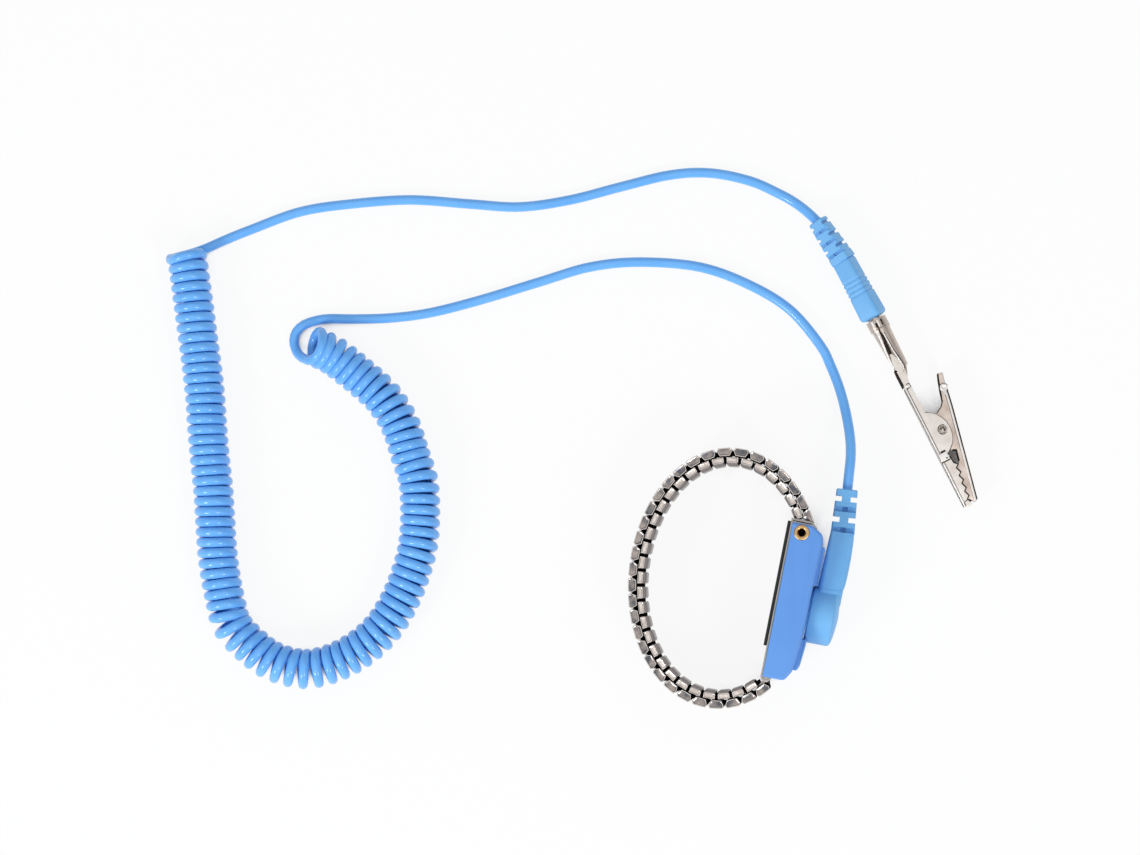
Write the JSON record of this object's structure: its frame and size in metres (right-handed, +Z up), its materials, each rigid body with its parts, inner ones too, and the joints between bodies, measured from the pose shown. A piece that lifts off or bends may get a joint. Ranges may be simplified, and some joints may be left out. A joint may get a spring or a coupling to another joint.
{
  "type": "antistatic wrist strap",
  "caption": "Antistatic wrist strap: a metal expansion band closed by a hinged snap housing, with a coiled earth cord ending in a banana plug and an alligator clip.",
  "frame": {"origin": "on the table, under the middle of the band and its housing taken together", "axes": "+Z up from the table; +X towards the snap plug's side of the wrist band; +Y towards the housing's hinge end"},
  "size_m": [0.1948, 0.1287, 0.0192],
  "materials": {
    "cover_plastic": "smooth moulded",
    "plug_plastic": "smooth moulded",
    "cord_plastic": "extruded, glossy",
    "band_steel": "polished stainless steel",
    "plate_steel": "stainless steel sheet",
    "nickel": "nickel plated",
    "brass": "bright brass",
    "liner": "black liner",
    "ceramic": "coated resistor body"
  },
  "bodies": {
    "cord_set": {"cord_tail_a": "cord_plastic", "cord_coil": "cord_plastic", "cord_tail_b": "cord_plastic", "plug_cap": "plug_plastic", "plug_boot": "plug_plastic", "snap_socket": "nickel", "resistor": "ceramic", "socket_terminal": "nickel", "wire_crimp": "nickel", "banana_handle": "plug_plastic", "banana_boot": "plug_plastic", "banana_pin": "nickel"},
    "snap_ring": {"snap_spring": "brass"},
    "housing": {"housing_cover": "cover_plastic", "hinge_eyelet": "brass", "snap_stud": "nickel", "stud_washer": "plate_steel", "contact_spring": "brass"},
    "clasp_frame": {"back_plate": "plate_steel", "plate_liner": "liner", "end_pin": "plate_steel"},
    "band_01": {"band_link_01": "band_steel"},
    "band_02": {"band_link_02": "band_steel"},
    "band_03": {"band_link_03": "band_steel"},
    "band_04": {"band_link_04": "band_steel"},
    "band_05": {"band_link_05": "band_steel"},
    "band_06": {"band_link_06": "band_steel"},
    "band_07": {"band_link_07": "band_steel"},
    "band_08": {"band_link_08": "band_steel"},
    "band_09": {"band_link_09": "band_steel"},
    "band_10": {"band_link_10": "band_steel"},
    "band_11": {"band_link_11": "band_steel"},
    "band_12": {"band_link_12": "band_steel"},
    "band_13": {"band_link_13": "band_steel"},
    "band_14": {"band_link_14": "band_steel"},
    "band_15": {"band_link_15": "band_steel"},
    "band_16": {"band_link_16": "band_steel"},
    "band_17": {"band_link_17": "band_steel"},
    "band_18": {"band_link_18": "band_steel"},
    "band_19": {"band_link_19": "band_steel"},
    "band_20": {"band_link_20": "band_steel"},
    "band_21": {"band_link_21": "band_steel"},
    "band_22": {"band_link_22": "band_steel"},
    "band_23": {"band_link_23": "band_steel"},
    "band_24": {"band_link_24": "band_steel"},
    "band_25": {"band_link_25": "band_steel"},
    "band_26": {"band_link_26": "band_steel"},
    "band_27": {"band_link_27": "band_steel"},
    "band_28": {"band_link_28": "band_steel"},
    "band_29": {"band_link_29": "band_steel"},
    "band_30": {"band_link_30": "band_steel"},
    "band_31": {"band_link_31": "band_steel"},
    "band_32": {"band_link_32": "band_steel", "end_hook": "band_steel"},
    "clip_ring": {"lantern_spring": "brass"},
    "clip_fixed": {"clip_jaw_fixed": "nickel", "clip_rivet": "nickel", "clip_spring": "plate_steel"},
    "clip_moving": {"clip_jaw_moving": "nickel"}
  },
  "joints": [
    {"name": "snap_swivel", "type": "hinge", "parent": "cord_set", "child": "snap_ring", "pos_m": [0.02071, -0.00874, 0.0095], "axis": [0.9806, -0.1959, 0], "continuous": true},
    {"name": "unsnap", "type": "slide", "parent": "snap_ring", "child": "housing", "axis": [-0.9806, 0.1959, 0], "range_m": [0, 0.006]},
    {"name": "clasp_hinge", "type": "hinge", "parent": "housing", "child": "clasp_frame", "pos_m": [0.0178, 0.0104, 0.0095], "axis": [0, 0, -1], "range_deg": [0, 25]},
    {"name": "band_stretch", "type": "slide", "parent": "clasp_frame", "child": "band_01", "axis": [-0.3239, 0.9461, 0], "range_m": [0, 0.00108], "stiffness_N_per_m": 1500},
    {"name": "link_02_slide", "type": "slide", "parent": "band_01", "child": "band_02", "axis": [-0.4393, 0.8983, 0], "range_m": [0, 0.00104]},
    {"name": "link_03_slide", "type": "slide", "parent": "band_02", "child": "band_03", "axis": [-0.5626, 0.8267, 0], "range_m": [0, 0.0009881]},
    {"name": "link_04_slide", "type": "slide", "parent": "band_03", "child": "band_04", "axis": [-0.6904, 0.7234, 0], "range_m": [0, 0.0009235]},
    {"name": "link_05_slide", "type": "slide", "parent": "band_04", "child": "band_05", "axis": [-0.8145, 0.5802, 0], "range_m": [0, 0.0008424]},
    {"name": "link_06_slide", "type": "slide", "parent": "band_05", "child": "band_06", "axis": [-0.9197, 0.3926, 0], "range_m": [0, 0.0007452]},
    {"name": "link_07_slide", "type": "slide", "parent": "band_06", "child": "band_07", "axis": [-0.986, 0.1666, 0], "range_m": [0, 0.0006377]},
    {"name": "link_08_slide", "type": "slide", "parent": "band_07", "child": "band_08", "axis": [-0.9971, -0.0763, 0], "range_m": [0, 0.0005319]},
    {"name": "link_09_slide", "type": "slide", "parent": "band_08", "child": "band_09", "axis": [-0.9523, -0.3052, 0], "range_m": [0, 0.0004408]},
    {"name": "link_10_slide", "type": "slide", "parent": "band_09", "child": "band_10", "axis": [-0.8682, -0.4963, 0], "range_m": [0, 0.0003723]},
    {"name": "link_11_slide", "type": "slide", "parent": "band_10", "child": "band_11", "axis": [-0.7658, -0.6431, 0], "range_m": [0, 0.0003256]},
    {"name": "link_12_slide", "type": "slide", "parent": "band_11", "child": "band_12", "axis": [-0.66, -0.7512, 0], "range_m": [0, 0.000296]},
    {"name": "link_13_slide", "type": "slide", "parent": "band_12", "child": "band_13", "axis": [-0.5577, -0.83, 0], "range_m": [0, 0.0002785]},
    {"name": "link_14_slide", "type": "slide", "parent": "band_13", "child": "band_14", "axis": [-0.4607, -0.8876, 0], "range_m": [0, 0.0002693]},
    {"name": "link_15_slide", "type": "slide", "parent": "band_14", "child": "band_15", "axis": [-0.3685, -0.9296, 0], "range_m": [0, 0.0002659]},
    {"name": "link_16_slide", "type": "slide", "parent": "band_15", "child": "band_16", "axis": [-0.2797, -0.9601, 0], "range_m": [0, 0.000267]},
    {"name": "link_17_slide", "type": "slide", "parent": "band_16", "child": "band_17", "axis": [-0.1927, -0.9813, 0], "range_m": [0, 0.0002717]},
    {"name": "link_18_slide", "type": "slide", "parent": "band_17", "child": "band_18", "axis": [-0.1058, -0.9944, 0], "range_m": [0, 0.0002799]},
    {"name": "link_19_slide", "type": "slide", "parent": "band_18", "child": "band_19", "axis": [-0.0173, -0.9999, 0], "range_m": [0, 0.0002916]},
    {"name": "link_20_slide", "type": "slide", "parent": "band_19", "child": "band_20", "axis": [0.0746, -0.9972, 0], "range_m": [0, 0.0003074]},
    {"name": "link_21_slide", "type": "slide", "parent": "band_20", "child": "band_21", "axis": [0.1715, -0.9852, 0], "range_m": [0, 0.0003279]},
    {"name": "link_22_slide", "type": "slide", "parent": "band_21", "child": "band_22", "axis": [0.2752, -0.9614, 0], "range_m": [0, 0.0003546]},
    {"name": "link_23_slide", "type": "slide", "parent": "band_22", "child": "band_23", "axis": [0.3869, -0.9221, 0], "range_m": [0, 0.0003892]},
    {"name": "link_24_slide", "type": "slide", "parent": "band_23", "child": "band_24", "axis": [0.5068, -0.8621, 0], "range_m": [0, 0.000434]},
    {"name": "link_25_slide", "type": "slide", "parent": "band_24", "child": "band_25", "axis": [0.6333, -0.7739, 0], "range_m": [0, 0.0004919]},
    {"name": "link_26_slide", "type": "slide", "parent": "band_25", "child": "band_26", "axis": [0.7605, -0.6494, 0], "range_m": [0, 0.0005655]},
    {"name": "link_27_slide", "type": "slide", "parent": "band_26", "child": "band_27", "axis": [0.8764, -0.4816, 0], "range_m": [0, 0.0006559]},
    {"name": "link_28_slide", "type": "slide", "parent": "band_27", "child": "band_28", "axis": [0.9626, -0.271, 0], "range_m": [0, 0.0007599]},
    {"name": "link_29_slide", "type": "slide", "parent": "band_28", "child": "band_29", "axis": [0.9995, -0.0321, 0], "range_m": [0, 0.0008682]},
    {"name": "link_30_slide", "type": "slide", "parent": "band_29", "child": "band_30", "axis": [0.9784, 0.2068, 0], "range_m": [0, 0.0009673]},
    {"name": "link_31_slide", "type": "slide", "parent": "band_30", "child": "band_31", "axis": [0.9091, 0.4166, 0], "range_m": [0, 0.00105]},
    {"name": "link_32_slide", "type": "slide", "parent": "band_31", "child": "band_32", "axis": [0.8125, 0.583, 0], "range_m": [0, 0.0011]},
    {"name": "clip_swivel", "type": "hinge", "parent": "cord_set", "child": "clip_ring", "pos_m": [0.03624, 0.05943, 0.0035], "axis": [0.4695, -0.8829, 0], "continuous": true},
    {"name": "clip_pull", "type": "slide", "parent": "clip_ring", "child": "clip_fixed", "axis": [0.4695, -0.8829, 0], "range_m": [0, 0.015]},
    {"name": "jaw_hinge", "type": "hinge", "parent": "clip_fixed", "child": "clip_moving", "pos_m": [0.05099, 0.03489, 0.0035], "axis": [0, 0, 1], "range_deg": [0, 28], "stiffness_Nm_per_rad": 0.15, "springref_deg": -17.19, "deforming": ["clip_spring"]}
  ],
  "couplings": [
    {"joint": "link_02_slide", "follows": "band_stretch", "ratio": 0.96396},
    {"joint": "link_03_slide", "follows": "band_stretch", "ratio": 0.91728},
    {"joint": "link_04_slide", "follows": "band_stretch", "ratio": 0.85729},
    {"joint": "link_05_slide", "follows": "band_stretch", "ratio": 0.78197},
    {"joint": "link_06_slide", "follows": "band_stretch", "ratio": 0.69175},
    {"joint": "link_07_slide", "follows": "band_stretch", "ratio": 0.59202},
    {"joint": "link_08_slide", "follows": "band_stretch", "ratio": 0.49372},
    {"joint": "link_09_slide", "follows": "band_stretch", "ratio": 0.40924},
    {"joint": "link_10_slide", "follows": "band_stretch", "ratio": 0.34557},
    {"joint": "link_11_slide", "follows": "band_stretch", "ratio": 0.30225},
    {"joint": "link_12_slide", "follows": "band_stretch", "ratio": 0.27482},
    {"joint": "link_13_slide", "follows": "band_stretch", "ratio": 0.25855},
    {"joint": "link_14_slide", "follows": "band_stretch", "ratio": 0.24997},
    {"joint": "link_15_slide", "follows": "band_stretch", "ratio": 0.24683},
    {"joint": "link_16_slide", "follows": "band_stretch", "ratio": 0.24782},
    {"joint": "link_17_slide", "follows": "band_stretch", "ratio": 0.25223},
    {"joint": "link_18_slide", "follows": "band_stretch", "ratio": 0.25982},
    {"joint": "link_19_slide", "follows": "band_stretch", "ratio": 0.27071},
    {"joint": "link_20_slide", "follows": "band_stretch", "ratio": 0.28532},
    {"joint": "link_21_slide", "follows": "band_stretch", "ratio": 0.30442},
    {"joint": "link_22_slide", "follows": "band_stretch", "ratio": 0.32919},
    {"joint": "link_23_slide", "follows": "band_stretch", "ratio": 0.36129},
    {"joint": "link_24_slide", "follows": "band_stretch", "ratio": 0.40291},
    {"joint": "link_25_slide", "follows": "band_stretch", "ratio": 0.45665},
    {"joint": "link_26_slide", "follows": "band_stretch", "ratio": 0.52499},
    {"joint": "link_27_slide", "follows": "band_stretch", "ratio": 0.60889},
    {"joint": "link_28_slide", "follows": "band_stretch", "ratio": 0.70544},
    {"joint": "link_29_slide", "follows": "band_stretch", "ratio": 0.80598},
    {"joint": "link_30_slide", "follows": "band_stretch", "ratio": 0.89793},
    {"joint": "link_31_slide", "follows": "band_stretch", "ratio": 0.97122},
    {"joint": "link_32_slide", "follows": "band_stretch", "ratio": 1.0232}
  ]
}
